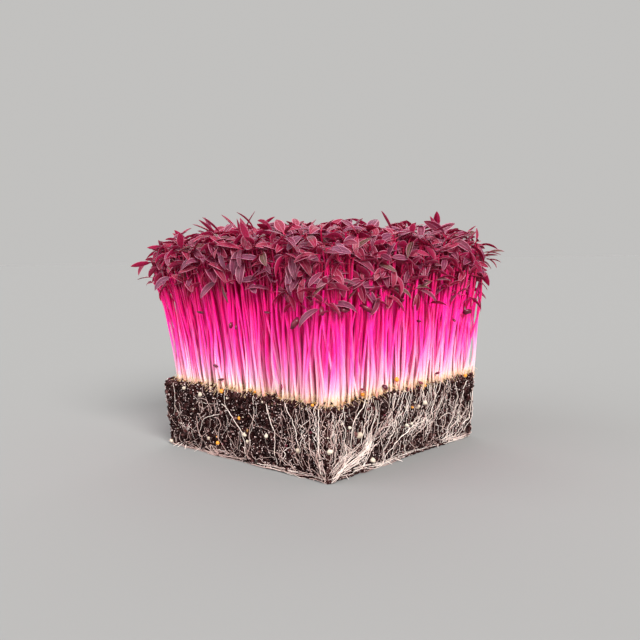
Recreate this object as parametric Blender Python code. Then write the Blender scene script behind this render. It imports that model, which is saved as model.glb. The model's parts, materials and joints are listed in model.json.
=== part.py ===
# Red amaranth microgreens standing on a bare, root-bound block of soil, as lifted out of their tray.
#
# Metres, +Z up. The origin is the centre of the soil's flat underside. The soil is a square block that
# tapers a little towards its foot. Seedlings stand on it in clumps: the seedlings of one clump share a
# root crown, which is sunk in a plain hole in the soil, and each ends in one arched pair of seed leaves.
# A net of roots lies on each side of the block.

import math
import random

import bmesh
import bpy
from mathutils import Matrix, Vector, noise
from mathutils.bvhtree import BVHTree

# Soil block
SOIL_TOP_SIDE = 0.100
SOIL_FOOT_SIDE = 0.0965
SOIL_HEIGHT = 0.0293
SOIL_EDGE_ROUND = 0.0014
SOIL_CELLS = 8
SOIL_RELIEF = 0.0014
SOIL_RELIEF_PITCH = 0.011

# Clumps of seedlings, spread evenly but in no rows
CLUMPS_PER_SIDE = 7
CLUMP_PITCH = 0.0146
CLUMP_JITTER = 0.0060
CLUMP_SPACING = 0.0136
CLUMP_SPREAD_STEPS = 12
CROWN_RADIUS = 0.0034
CROWN_DEPTH = 0.0050
CROWN_PROUD = 0.0005
CROWN_SIDES = 5
GAP = 0.0003

# Seedlings: the stand is highest at its middle and leans out round its edge
SEEDLINGS_IN_EDGE_CLUMP = 4
SEEDLINGS_IN_INNER_CLUMP = 3
STEM_RADIUS = 0.0009
STEM_SIDES = 3
STEM_STATIONS = (0.0, 0.6, 1.0)
STAND_HEIGHT = 0.0697
STAND_DOME = 0.24
STAND_RAGGED = 0.0130
STAND_SPLAY = 0.055
STAND_REACH = 0.0588
SEEDLING_SPREAD = 0.0044
SEEDLING_JITTER = 0.0010

# Seed leaves: a pair is one arched, keeled blade with a narrow waist on the stem's tip
LEAF_LENGTH = 0.0108
LEAF_WIDTH = 0.0043
LEAF_THICKNESS = 0.0009
LEAF_STATIONS = ((0.0, 0.30), (0.34, 1.0), (0.74, 0.76))

# Root nets, one on each side of the block
ROOTS_PER_SIDE = 9
ROOT_STATIONS = 4
ROOT_BRANCH_LEAN = 0.0085
ROOT_WIDTH = 0.0012
ROOT_THICKNESS = 0.0008
ROOT_MAT_WIDTH = 0.0022
ROOT_NET_REACH = 0.0455
ROOT_NET_TOP = 0.0268

# Grains of perlite and feed on the soil
GRAINS = 18
GRAIN_RADIUS = 0.0014

SOIL_SEED, CLUMP_SEED, SEEDLING_SEED, ROOT_SEED, GRAIN_SEED = 11, 7, 23, 37, 51


def clear_scene():
    for obj in list(bpy.data.objects):
        bpy.data.objects.remove(obj)


def material(name, colour, roughness):
    made = bpy.data.materials.new(name)
    made.use_nodes = True
    shader = made.node_tree.nodes["Principled BSDF"]
    shader.inputs["Base Color"].default_value = (*colour, 1.0)
    shader.inputs["Roughness"].default_value = roughness
    shader.inputs["Metallic"].default_value = 0.0
    made.diffuse_color = (*colour, 1.0)
    return made


def mesh_object(name, shape, collection=None):
    """An object from a shape, which is (points, faces)."""
    mesh = bpy.data.meshes.new(name)
    mesh.from_pydata(shape[0], [], shape[1])
    obj = bpy.data.objects.new(name, mesh)
    (collection or bpy.context.scene.collection).objects.link(obj)
    return obj


def take_modifiers(obj):
    """Applies the modifiers of an object."""
    graph = bpy.context.evaluated_depsgraph_get()
    mesh = bpy.data.meshes.new_from_object(obj.evaluated_get(graph))
    obj.modifiers.clear()
    obj.data = mesh


def fused(name, shapes, finish):
    """One node: the union of all the shapes, the first of which is the base."""
    node = mesh_object(name, shapes[0])
    pieces = bpy.data.collections.new(name + "_pieces")
    bpy.context.scene.collection.children.link(pieces)
    for shape in shapes[1:]:
        mesh_object(name + "_piece", shape, pieces)
    union = node.modifiers.new("union", "BOOLEAN")
    union.operation = "UNION"
    union.operand_type = "COLLECTION"
    union.collection = pieces
    take_modifiers(node)
    for obj in list(pieces.objects):
        bpy.data.objects.remove(obj)
    bpy.data.collections.remove(pieces)
    node.data.materials.clear()
    node.data.materials.append(finish)
    return node


def lofted(rings):
    """A closed shape through rings of equal length, with flat ends."""
    count = len(rings[0])
    points = [point for ring in rings for point in ring]
    faces = [list(range(count))[::-1]]
    for first in range(0, count * (len(rings) - 1), count):
        for i in range(count):
            j = (i + 1) % count
            faces.append([first + i, first + j, first + count + j, first + count + i])
    faces.append(list(range(len(points) - count, len(points))))
    return points, faces


def prism_ring(centre, radius, sides, turn=0.0):
    return [
        centre + Vector((math.cos(a), math.sin(a), 0)) * radius
        for a in (turn + 2 * math.pi * i / sides for i in range(sides))
    ]


def side_half_width(height):
    """Half the soil's side at a height above its underside."""
    share = height / SOIL_HEIGHT
    return (SOIL_FOOT_SIDE + (SOIL_TOP_SIDE - SOIL_FOOT_SIDE) * share) / 2


def clump_centres():
    """The clumps' places: a grid, shuffled and then spread out again. The outermost keep to their edge."""
    rand = random.Random(CLUMP_SEED)
    middle = (CLUMPS_PER_SIDE - 1) / 2
    edge = middle * CLUMP_PITCH

    def moved(place, step):
        for axis in (0, 1):
            if abs(place[axis]) < edge:
                place[axis] = max(-edge, min(edge, place[axis] + step[axis]))

    places = []
    for row in range(CLUMPS_PER_SIDE):
        for column in range(CLUMPS_PER_SIDE):
            place = Vector((column - middle, row - middle, 0)) * CLUMP_PITCH
            moved(place, Vector((rand.uniform(-1, 1), rand.uniform(-1, 1), 0)) * CLUMP_JITTER)
            places.append(place)
    for _ in range(CLUMP_SPREAD_STEPS):
        for i, place in enumerate(places):
            for other in places[:i]:
                apart = place - other
                push = apart.normalized() * max(0.0, CLUMP_SPACING - apart.length) / 2
                moved(place, push)
                moved(other, -push)
    return places


# Soil

def soil_shape():
    """A tapered block whose sides and top are dented inwards by smooth noise. Its underside stays flat."""
    bm = bmesh.new()
    bmesh.ops.create_grid(bm, x_segments=SOIL_CELLS, y_segments=SOIL_CELLS, size=1.0)
    rim = [edge for edge in bm.edges if edge.is_boundary]
    shoulder = SOIL_HEIGHT - SOIL_EDGE_ROUND
    half_top = side_half_width(shoulder) - SOIL_EDGE_ROUND
    for vert in bm.verts:
        vert.co = Vector((vert.co.x * half_top, vert.co.y * half_top, SOIL_HEIGHT))
    previous = half_top
    for level in (shoulder, SOIL_HEIGHT * 0.6, SOIL_HEIGHT * 0.28, 0.0):
        made = bmesh.ops.extrude_edge_only(bm, edges=rim)["geom"]
        rim = [item for item in made if isinstance(item, bmesh.types.BMEdge)]
        half = side_half_width(level)
        for vert in (item for item in made if isinstance(item, bmesh.types.BMVert)):
            vert.co = Vector((vert.co.x * half / previous, vert.co.y * half / previous, level))
        previous = half
    bmesh.ops.contextual_create(bm, geom=rim)
    bmesh.ops.recalc_face_normals(bm, faces=bm.faces)
    noise.seed_set(SOIL_SEED)
    for vert in bm.verts:
        if vert.co.z > 0:
            dent = abs(noise.noise(vert.co / SOIL_RELIEF_PITCH)) * SOIL_RELIEF
            inward = Vector((vert.co.x, vert.co.y, 0)) / (SOIL_TOP_SIDE / 2)
            vert.co -= Vector((round(inward.x), round(inward.y), 0.5)) * dent
    shape = [vert.co.copy() for vert in bm.verts], [[v.index for v in face.verts] for face in bm.faces]
    bm.free()
    return shape


def grain_shape(centre, radius, turn):
    """A pebble of eight facets."""
    ring = prism_ring(centre, radius, 4, turn)
    ends = [centre - Vector((0, 0, radius)), centre + Vector((0, 0, radius * 0.8))]
    faces = []
    for i in range(4):
        j = (i + 1) % 4
        faces += [[i, j, 5], [j, i, 4]]
    return ring + ends, faces


def grain_shapes():
    """Grains lie on the soil between the clumps, half sunk in it."""
    rand = random.Random(GRAIN_SEED)
    reach = SOIL_TOP_SIDE / 2 - 4 * GRAIN_RADIUS
    taken = [(place, CROWN_RADIUS + 2 * GRAIN_RADIUS) for place in clump_centres()]
    left = GRAINS
    while left:
        radius = GRAIN_RADIUS * rand.uniform(0.75, 1.2)
        place = Vector((rand.uniform(-reach, reach), rand.uniform(-reach, reach), 0))
        if all((place - other).length > room for other, room in taken):
            taken.append((place, 4 * GRAIN_RADIUS))
            left -= 1
            yield grain_shape(place + Vector((0, 0, SOIL_HEIGHT - 0.2 * radius)), radius, rand.uniform(0, math.pi))


def build_soil(finish):
    soil = fused("soil_block", [soil_shape(), *grain_shapes()], finish)
    hole_floor = SOIL_HEIGHT - CROWN_DEPTH - GAP
    hole_radius = CROWN_RADIUS + GAP / math.cos(math.pi / CROWN_SIDES)
    points, faces = [], []
    for centre in clump_centres():
        hole_points, hole_faces = lofted([
            prism_ring(Vector((centre.x, centre.y, level)), hole_radius, CROWN_SIDES)
            for level in (hole_floor, SOIL_HEIGHT + CROWN_DEPTH)
        ])
        faces += [[len(points) + i for i in face] for face in hole_faces]
        points += hole_points
    holes = mesh_object("crown_holes", (points, faces))
    holes.hide_render = True
    holes.display_type = "WIRE"
    cut = soil.modifiers.new("crown holes", "BOOLEAN")
    cut.operation = "DIFFERENCE"
    cut.object = holes


# Seedlings

def seedling_rows():
    """Every seedling: its clump, where its stem starts and ends, and how its leaf pair lies."""
    rand = random.Random(SEEDLING_SEED)
    half_diagonal = SOIL_TOP_SIDE / math.sqrt(2)
    edge = (CLUMPS_PER_SIDE - 1) / 2 * CLUMP_PITCH - GAP
    for clump, centre in enumerate(clump_centres()):
        on_edge = max(abs(centre.x), abs(centre.y)) > edge
        count = SEEDLINGS_IN_EDGE_CLUMP if on_edge else SEEDLINGS_IN_INNER_CLUMP
        first_turn = rand.uniform(0, 2 * math.pi)
        for i in range(count):
            turn = first_turn + 2 * math.pi * i / count
            aside = Vector((math.cos(turn), math.sin(turn), 0))
            jitter = Vector((rand.uniform(-1, 1), rand.uniform(-1, 1), 0)) * SEEDLING_JITTER
            top = centre * (1 + STAND_SPLAY) + aside * SEEDLING_SPREAD + jitter
            height = STAND_HEIGHT * (1 - STAND_DOME * (top.length / half_diagonal) ** 2)
            height -= rand.uniform(0, 1) * STAND_RAGGED
            yield {
                "clump": clump,
                "foot": centre + aside * CROWN_RADIUS * 0.5 + Vector((0, 0, SOIL_HEIGHT - CROWN_DEPTH * 0.4)),
                "tip": top + Vector((0, 0, SOIL_HEIGHT + height)),
                "heading": rand.uniform(0, math.pi),
                "rise": rand.uniform(0.3, 1.1),
                "roll": rand.uniform(-0.5, 0.5),
                "pitch": rand.uniform(-0.35, 0.35),
                "size": rand.uniform(0.88, 1.08),
            }


def stem_shape(seedling, grow=0.0):
    """A stem that fans out of its crown at once and bends away from the stand's middle near its top."""
    foot, tip = seedling["foot"], seedling["tip"]
    outward = Vector((tip.x, tip.y, 0)) * STAND_SPLAY
    rings = []
    for share in STEM_STATIONS:
        at = foot.lerp(tip, share) - outward * (share - share ** 3)
        rings.append(prism_ring(at, STEM_RADIUS * (1.1 - 0.4 * share) + grow, STEM_SIDES, foot.x * 999))
    return lofted(rings)


def leaf_pair_shape(seedling, size, turn, grow=0.0):
    """Two leaves that face each other across the stem's tip, as one blade. Each rises and then bends over."""
    length = LEAF_LENGTH * size
    waist = seedling["tip"] + Vector((0, 0, LEAF_THICKNESS * 0.35))
    frame = Matrix.Rotation(seedling["heading"] + turn, 3, "Z")
    frame = frame @ Matrix.Rotation(seedling["pitch"], 3, "Y") @ Matrix.Rotation(seedling["roll"], 3, "X")
    stations = [(-1.0, 0.0)]
    stations += [(-along, width) for along, width in reversed(LEAF_STATIONS[1:])]
    stations += [*LEAF_STATIONS, (1.0, 0.0)]
    rings = []
    for along, width in stations:
        arch = seedling["rise"] * (abs(along) - 0.85 * along * along) * length
        middle = Vector((along * (length + grow), 0, arch))
        half_width = (LEAF_WIDTH * size / 2 + grow) * width
        keel = (LEAF_THICKNESS + grow) * min(1.0, 3 * width)
        corners = [(-half_width, grow), (half_width, grow), (0, -keel)]
        rings.append([waist + frame @ (middle + Vector((0, y, z))) for y, z in corners])
    return pinched(lofted(rings))


def pinched(shape):
    """The shape with points that coincide made one, and the faces that this flattens left out."""
    bm = bmesh.new()
    verts = [bm.verts.new(point) for point in shape[0]]
    for face in shape[1]:
        bm.faces.new([verts[i] for i in face])
    bmesh.ops.remove_doubles(bm, verts=bm.verts, dist=1e-6)
    bmesh.ops.triangulate(bm, faces=bm.faces)
    bmesh.ops.recalc_face_normals(bm, faces=bm.faces)
    bm.verts.index_update()
    made = [vert.co.copy() for vert in bm.verts], [[v.index for v in face.verts] for face in bm.faces]
    bm.free()
    return made


def placed_row(owner, shape):
    centre = sum(shape[0], Vector()) / len(shape[0])
    reach = max((point - centre).length for point in shape[0])
    return owner, centre, reach, BVHTree.FromPolygons(*shape)


def is_clear(shape, owner, placed):
    """Whether a leaf pair stays within the stand's reach and out of every placed shape but its own stem."""
    if max(max(abs(point.x), abs(point.y)) for point in shape[0]) > STAND_REACH:
        return False
    _, centre, reach, tree = placed_row(owner, shape)
    for other, other_centre, other_reach, other_tree in placed:
        near = (other_centre - centre).length < other_reach + reach
        if other is not owner and near and tree.overlap(other_tree):
            return False
    return True


def clear_leaf_pair(seedling, placed):
    """The largest leaf pair that some heading keeps clear, or None."""
    for shrink in (1.0, 0.9, 0.8, 0.7, 0.6):
        for step in range(12):
            size, turn = seedling["size"] * shrink, step * math.pi / 12 * 5
            if is_clear(leaf_pair_shape(seedling, size, turn, grow=GAP * 1.2), seedling, placed):
                return leaf_pair_shape(seedling, size, turn)
    return None


def crown_shape(centre):
    """The tapered root crown that holds a clump's stems."""
    levels = ((CROWN_DEPTH, 0.55), (CROWN_DEPTH * 0.45, 1.0), (-CROWN_PROUD, 0.9))
    return lofted([
        prism_ring(Vector((centre.x, centre.y, SOIL_HEIGHT - depth)), CROWN_RADIUS * width, CROWN_SIDES)
        for depth, width in levels
    ])


def build_seedlings(finish):
    seedlings = list(seedling_rows())
    stems = [stem_shape(seedling) for seedling in seedlings]
    placed = [placed_row(seedling, stem) for seedling, stem in zip(seedlings, stems)]
    pieces = [[crown_shape(centre)] for centre in clump_centres()]
    for seedling, stem in zip(seedlings, stems):
        leaves = clear_leaf_pair(seedling, placed)
        if leaves is None:
            print("no room for a seedling at", seedling["tip"])
            continue
        placed.append(placed_row(seedling, leaves))
        pieces[seedling["clump"]] += [stem, leaves]
    for number, shapes in enumerate(pieces, start=1):
        fused(f"seedlings_{number:02}", shapes, finish)


# Roots

def root_shape(route, width, lift):
    """A three-sided strand along a route of (along, height) on the block's front side, flat against the soil."""
    rings = []
    for along, height in route:
        face = -side_half_width(height) - GAP - lift
        low, high = height - width / 2, height + width / 2
        if abs(route[-1][1] - route[0][1]) > abs(route[-1][0] - route[0][0]):
            flat = [Vector((along - width / 2, face, height)), Vector((along + width / 2, face, height))]
        else:
            flat = [Vector((along, face, high)), Vector((along, face, low))]
        rings.append([*flat, Vector((along, face - ROOT_THICKNESS, height))])
    return pinched(lofted(rings))


def root_routes(rand):
    """Strands that wander down to the mat along the foot. Each gives off a branch that leans the other way."""
    foot = ROOT_MAT_WIDTH / 2 + GAP
    for i in range(ROOTS_PER_SIDE):
        start = ROOT_NET_REACH * (2 * (i + 0.5) / ROOTS_PER_SIDE - 1)
        lean = rand.uniform(-1, 1) * 1.6 * ROOT_NET_REACH / ROOTS_PER_SIDE
        top = ROOT_NET_TOP * rand.uniform(0.8, 1.0)
        route = []
        for step in range(ROOT_STATIONS):
            share = step / (ROOT_STATIONS - 1)
            sway = rand.uniform(-1, 1) * 1.6 * ROOT_WIDTH * (1 if 0 < share < 1 else 0)
            along = max(-ROOT_NET_REACH, min(ROOT_NET_REACH, start + lean * share + sway))
            route.append((along, top + (foot - top) * share))
        yield route
        fork = route[rand.choice((1, 2))]
        aside = math.copysign(ROOT_BRANCH_LEAN, -lean) * rand.uniform(0.6, 1.1)
        end = max(-ROOT_NET_REACH, min(ROOT_NET_REACH, fork[0] + aside))
        yield [fork, ((fork[0] + end) / 2 + aside * 0.15, fork[1] * 0.55), (end, foot)]


def build_roots(finish):
    mat_steps = 4
    for quarter, side in enumerate(("front", "right", "back", "left")):
        rand = random.Random(ROOT_SEED + quarter)
        mat = []
        for i in range(mat_steps + 1):
            mat.append((ROOT_NET_REACH * (2 * i / mat_steps - 1), ROOT_MAT_WIDTH / 2 + GAP))
        shapes = [root_shape(mat, ROOT_MAT_WIDTH, 0.0)]
        for i, route in enumerate(root_routes(rand)):
            lift = ROOT_THICKNESS * (0.05 + 0.03 * (i % 4))
            shapes.append(root_shape(route, ROOT_WIDTH * rand.uniform(0.8, 1.3), lift))
        node = fused(f"root_net_{side}", shapes, finish)
        node.data.transform(Matrix.Rotation(quarter * math.pi / 2, 4, "Z"))


def main():
    clear_scene()
    build_soil(material("soil", (0.045, 0.028, 0.022), 0.95))
    build_roots(material("roots", (0.72, 0.62, 0.56), 0.6))
    build_seedlings(material("seedlings", (0.62, 0.05, 0.24), 0.45))


main()
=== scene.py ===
import json
import math
import random

import bpy
import numpy as np
from mathutils import Matrix, Vector, noise
from mathutils.bvhtree import BVHTree

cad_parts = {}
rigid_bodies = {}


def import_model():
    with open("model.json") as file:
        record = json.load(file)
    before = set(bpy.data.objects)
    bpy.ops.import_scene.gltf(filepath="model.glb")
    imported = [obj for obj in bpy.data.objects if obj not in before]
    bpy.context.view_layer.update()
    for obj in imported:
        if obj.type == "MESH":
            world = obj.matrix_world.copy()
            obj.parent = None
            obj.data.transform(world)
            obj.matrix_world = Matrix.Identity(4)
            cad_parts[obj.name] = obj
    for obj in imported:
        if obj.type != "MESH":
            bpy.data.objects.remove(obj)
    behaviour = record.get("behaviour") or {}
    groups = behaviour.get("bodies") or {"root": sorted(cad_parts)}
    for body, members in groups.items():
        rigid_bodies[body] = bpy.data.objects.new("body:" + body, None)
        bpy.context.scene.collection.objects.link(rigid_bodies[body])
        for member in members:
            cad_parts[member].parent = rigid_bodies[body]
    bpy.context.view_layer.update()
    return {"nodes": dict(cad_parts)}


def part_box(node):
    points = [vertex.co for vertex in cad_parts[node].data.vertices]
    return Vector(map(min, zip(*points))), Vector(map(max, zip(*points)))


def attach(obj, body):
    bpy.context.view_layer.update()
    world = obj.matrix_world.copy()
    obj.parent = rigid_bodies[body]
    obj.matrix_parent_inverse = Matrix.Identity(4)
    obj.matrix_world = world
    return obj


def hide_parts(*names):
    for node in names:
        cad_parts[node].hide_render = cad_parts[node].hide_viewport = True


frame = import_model()
mm = 0.001


# Small helpers

def onlySelect(obj):
    bpy.ops.object.select_all(action="DESELECT")
    obj.select_set(True)
    bpy.context.view_layer.objects.active = obj
    return obj


def added():
    return onlySelect(bpy.context.object)


def applyAll(obj):
    onlySelect(obj)
    for modifier in list(obj.modifiers):
        bpy.ops.object.modifier_apply(modifier=modifier.name)


def bisectAt(obj, axis, stations):  # cuts rings into a shape at these places along one axis
    onlySelect(obj)
    normal = [0, 0, 0]
    normal[axis] = 1
    bpy.ops.object.mode_set(mode="EDIT")
    for station in stations:
        place = [0, 0, 0]
        place[axis] = station
        bpy.ops.mesh.select_all(action="SELECT")
        bpy.ops.mesh.bisect(plane_co=place, plane_no=normal)
    bpy.ops.object.mode_set(mode="OBJECT")


def putOn(piece, slotName, *nodes):  # every piece here rides on the one body
    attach(piece, "root")
    if nodes:
        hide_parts(*nodes)


def setAttribute(mesh, name, values):  # one value for each point
    mesh.attributes.new(name, "FLOAT", "POINT").data.foreach_set("value", values.astype(np.float32))


def sideTurn(number):  # sides are counted from the front: 0 front, 1 right, 2 back, 3 left
    return Matrix.Rotation(number * math.pi / 2, 3, "Z")


# Shader maths

class Wire:
    def __init__(self, tree, socket=None):
        self.tree, self.socket = tree, socket

    def node(self, kind, settings=None, inputs=None, out=0):
        made = self.tree.nodes.new(kind)
        for key, value in (settings or {}).items():
            if key == "stops":
                self.setStops(made.color_ramp, value)
            else:
                setattr(made, key, value)
        for key, value in (inputs or {}).items():
            if isinstance(value, Wire):
                self.tree.links.new(value.socket, made.inputs[key])
            else:
                made.inputs[key].default_value = value
        return Wire(self.tree, made.outputs[out])

    @staticmethod
    def setStops(ramp, stops):
        while len(ramp.elements) < len(stops):
            ramp.elements.new(1.0)
        for element, (place, colour) in zip(ramp.elements, stops):
            element.position = place
            element.color = (*colour, 1)

    def calc(self, operation, *values):
        return self.node("ShaderNodeMath", {"operation": operation}, dict(enumerate(values)))

    def __add__(self, other):
        return self.calc("ADD", self, other)

    def __sub__(self, other):
        return self.calc("SUBTRACT", self, other)

    def __mul__(self, other):
        return self.calc("MULTIPLY", self, other)

    def __rsub__(self, other):
        return self.calc("SUBTRACT", other, self)

    __radd__, __rmul__ = __add__, __mul__

    def step(self, low, high):  # 0 below low and 1 above high, smooth between them
        return self.node("ShaderNodeMapRange", {"interpolation_type": "SMOOTHSTEP"},
                         {"Value": self, "From Min": low, "From Max": high})

    def blend(self, first, second):  # colours, by this wire
        return self.node("ShaderNodeMix", {"data_type": "RGBA"}, {0: self, 6: first, 7: second}, out=2)

    def ramp(self, *stops):
        return self.node("ShaderNodeValToRGB", {"stops": stops}, {0: self})


def rgb(red, green, blue):
    return (red, green, blue, 1)


def newMaterial(name):
    made = bpy.data.materials.new(name)
    made.use_nodes = True
    return made, Wire(made.node_tree)


def attribute(start, name):
    return start.node("ShaderNodeAttribute", {"attribute_name": name}, out=2)


def mottle(start, size, detail=3.0, stretch=(1, 1, 1)):  # noise with features about this large, in metres
    place = start.node("ShaderNodeTexCoord", out=3)
    place = start.node("ShaderNodeMapping", {}, {"Vector": place, "Scale": tuple(s / size for s in stretch)})
    return start.node("ShaderNodeTexNoise", {}, {"Vector": place, "Scale": 1.0, "Detail": detail})


def bump(start, height, strength, distance):
    return start.node("ShaderNodeBump", {}, {"Height": height, "Strength": strength, "Distance": distance})


def dress(made, constants, wires):
    sockets = made.node_tree.nodes["Principled BSDF"].inputs
    for key, value in constants.items():
        sockets[key].default_value = value
    for key, wire in wires.items():
        made.node_tree.links.new(wire.socket, sockets[key])
    return made


# Finishes

stemFinish = {
    "stops": (  # by height above the soil, 1 is 60 mm
        (0.00, (0.52, 0.31, 0.17)),  # tan foot
        (0.025, (0.90, 0.64, 0.50)),  # cream
        (0.060, (0.94, 0.56, 0.60)),
        (0.13, (0.95, 0.36, 0.60)),  # pale pink
        (0.24, (0.94, 0.12, 0.46)),
        (0.36, (0.95, 0.025, 0.35)),  # hot pink
        (0.54, (0.84, 0.006, 0.235)),
        # from here up the stops are darker, partly the stems' own deepening crimson and partly painted shade of the
        # leaves
        (0.66, (0.62, 0.003, 0.132)),
        (0.78, (0.37, 0.002, 0.060)),
        (0.92, (0.29, 0.002, 0.036)),  # crimson under the leaves: the stems' own deep colour, darkened further as painted shade from the leaves
    ),
    "shift": 0.20,  # how far the pink starts early or late, seedling by seedling
    "pale": rgb(0.96, 0.46, 0.64),  # of streaks, and of whole stems here and there
    "dark": rgb(0.66, 0.012, 0.16),
    "roughness": 0.30,
    "paintedGlow": 0.035,  # painted glow, in place of light that comes through from behind
}


def stemMaterial():
    made, start = newMaterial("amaranth stem")
    rise, tint = attribute(start, "rise"), attribute(start, "tint")
    streak = mottle(start, 0.6 * mm, 2.0, (1, 1, 0.06))
    place = rise + (tint - 0.5) * stemFinish["shift"] * rise.step(0.02, 0.25) + (streak - 0.5) * 0.10
    colour = place.ramp(*stemFinish["stops"])
    other = start.calc("FRACT", tint * 7.3)  # a second chance value for each seedling
    pale = (streak.step(0.54, 0.70) * 0.30 + other.step(0.75, 1.0) * 0.35) * (1 - rise.step(0.20, 0.6))
    colour = pale.blend(colour, stemFinish["pale"])
    colour = ((1 - other.step(0.0, 0.35)) * 0.40).blend(colour, stemFinish["dark"])
    # The emission paints a glow in the stems' own colour, for light passing through them
    return dress(made, {
        "Subsurface Weight": 0.5, "Subsurface Radius": (1.0, 0.35, 0.6), "Subsurface Scale": 1.0 * mm,
        "Specular IOR Level": 0.35, "Emission Strength": stemFinish["paintedGlow"],
    }, {
        "Base Color": colour,
        "Emission Color": colour,
        "Roughness": streak * 0.2 + (stemFinish["roughness"] - 0.1),
        "Normal": bump(start, streak, 0.25, 0.1 * mm),
    })


leafFinish = {
    "deep": rgb(0.120, 0.001, 0.020),
    # greyish mauve of the leaf tops: their own tone, with a painted sheen
    "mauveAndSheen": rgb(0.112, 0.028, 0.068),
    "crimson": rgb(0.190, 0.001, 0.026),
    "olive": rgb(0.058, 0.038, 0.012),
    "under": rgb(0.260, 0.003, 0.045),
    "rim": rgb(0.520, 0.190, 0.280),  # and the crease: their paler colour, lightened further as a painted highlight
    "stalk": rgb(0.42, 0.003, 0.055),
    # a painted crimson glow, so the leaves stay red in shade
    "paintedGlow": 0.024,
}


def leafMaterial():
    made, start = newMaterial("amaranth leaf")
    tint, under = attribute(start, "tint"), attribute(start, "under")
    along, across = attribute(start, "along"), attribute(start, "across")
    patch = mottle(start, 3.5 * mm)
    grain = mottle(start, 0.5 * mm, 4.0)
    # the tops blend toward greyish mauve, in part a painted sheen
    top = (patch * 0.9 + tint * 1.2 + grain * 0.3 - 0.95).blend(leafFinish["deep"], leafFinish["mauveAndSheen"])
    top = (1 - tint.step(0.28, 0.42)).blend(top, leafFinish["crimson"])
    top = (tint.step(0.930, 0.950) * 0.8).blend(top, leafFinish["olive"])
    # crease and rim are lightened, partly as a painted highlight along them
    top = ((1 - across.step(0.0, 0.12)) * 0.40).blend(top, leafFinish["rim"])
    top = (across.step(0.76, 0.92) * 0.75).blend(top, leafFinish["rim"])
    veins = start.calc("SINE", along * 46 + across * 7)
    colour = under.step(0.52, 0.60).blend(top, leafFinish["under"])
    colour = (1 - along.step(0.05, 0.26)).blend(colour, leafFinish["stalk"])
    # The emission paints a crimson glow into the leaves' shade
    return dress(made, {
        "Subsurface Weight": 0.2, "Subsurface Radius": (1.0, 0.12, 0.25), "Subsurface Scale": 0.8 * mm,
        "Specular IOR Level": 0.40, "Emission Color": rgb(1.0, 0.01, 0.14), "Emission Strength": leafFinish["paintedGlow"],
    }, {
        "Base Color": colour,
        "Roughness": grain * 0.20 + 0.44,
        "Normal": bump(start, veins * 0.5 + grain * 2, 0.35, 0.08 * mm),
    })


soilFinish = {
    "ground": (
        (0.20, (0.0018, 0.0003, 0.0003)),
        (0.50, (0.0085, 0.0018, 0.0017)),
        (0.85, (0.048, 0.016, 0.015)),
    ),
    "crumb": (
        (0.00, (0.0035, 0.0006, 0.0006)),
        (0.50, (0.014, 0.0031, 0.0029)),
        (0.74, (0.052, 0.016, 0.015)),
        (0.88, (0.150, 0.068, 0.065)),
        (1.00, (0.420, 0.280, 0.270)),
    ),
    # pale specks: perlite dust, and painted glints on the crumbs
    "speck": rgb(0.55, 0.38, 0.38),
    "tan": rgb(0.42, 0.23, 0.09),  # of the crumbs between the outer stems
}


def soilMaterial():
    made, start = newMaterial("soil")
    clod = mottle(start, 2.2 * mm, 5.0)
    grain = mottle(start, 0.45 * mm, 3.0)
    # the hollows are darkened as painted shade
    tone = clod * 0.6 + grain * 0.5 + 0.15 - attribute(start, "cavity") * 0.5
    # pale specks in the soil's colour, partly perlite dust and partly painted glints
    speck = mottle(start, 0.32 * mm, 0.0).step(0.68, 0.76)
    return dress(made, {"Specular IOR Level": 0.02}, {
        "Base Color": (speck * 0.42).blend(tone.ramp(*soilFinish["ground"]), soilFinish["speck"]),
        "Roughness": grain * 0.4 + 0.55,
        "Normal": bump(start, clod + grain * 0.6, 0.9, 0.5 * mm),
    })


def crumbMaterial():
    made, start = newMaterial("crumb")
    grain = mottle(start, 0.35 * mm, 3.0)
    tone = attribute(start, "tint") * 0.85 + (grain - 0.5) * 0.5 + 0.05
    colour = attribute(start, "tan").blend(tone.ramp(*soilFinish["crumb"]), soilFinish["tan"])
    return dress(made, {"Specular IOR Level": 0.04}, {
        "Base Color": colour,
        "Roughness": grain * 0.5 + 0.40,
        "Normal": bump(start, grain, 0.8, 0.2 * mm),
    })


rootFinish = {  # dark and light
    "main root": (rgb(0.66, 0.51, 0.47), rgb(1.0, 0.89, 0.81)),
    "fine root": (rgb(0.32, 0.175, 0.165), rgb(0.86, 0.65, 0.59)),
    "root hair": (rgb(0.11, 0.044, 0.042), rgb(0.46, 0.27, 0.25)),
    "foot hair": (rgb(0.50, 0.28, 0.12), rgb(0.96, 0.76, 0.54)),
}


def rootMaterial(name):
    made, start = newMaterial(name)
    patch = mottle(start, 6 * mm, 2.0)
    fibre = mottle(start, 0.6 * mm, 3.0)
    colour = (patch * 1.1 + fibre * 0.8 - 0.5).blend(*rootFinish[name])
    return dress(made, {
        "Subsurface Weight": 0.12, "Subsurface Radius": (1.0, 0.7, 0.5), "Subsurface Scale": 0.4 * mm,
        "Specular IOR Level": 0.4,
    }, {
        "Base Color": colour,
        "Roughness": fibre * 0.3 + 0.40,
        "Normal": bump(start, fibre, 0.3, 0.08 * mm),
    })


grainFinish = {  # dark, light and roughness
    "speck": (rgb(0.30, 0.18, 0.18), rgb(0.92, 0.76, 0.73), 0.5),
    "prill": (rgb(0.55, 0.17, 0.010), rgb(0.90, 0.36, 0.035), 0.4),
    "pebble": (rgb(0.38, 0.28, 0.20), rgb(0.78, 0.70, 0.58), 0.6),
    "hull": (rgb(0.045, 0.003, 0.010), rgb(0.20, 0.014, 0.040), 0.35),
}


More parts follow.
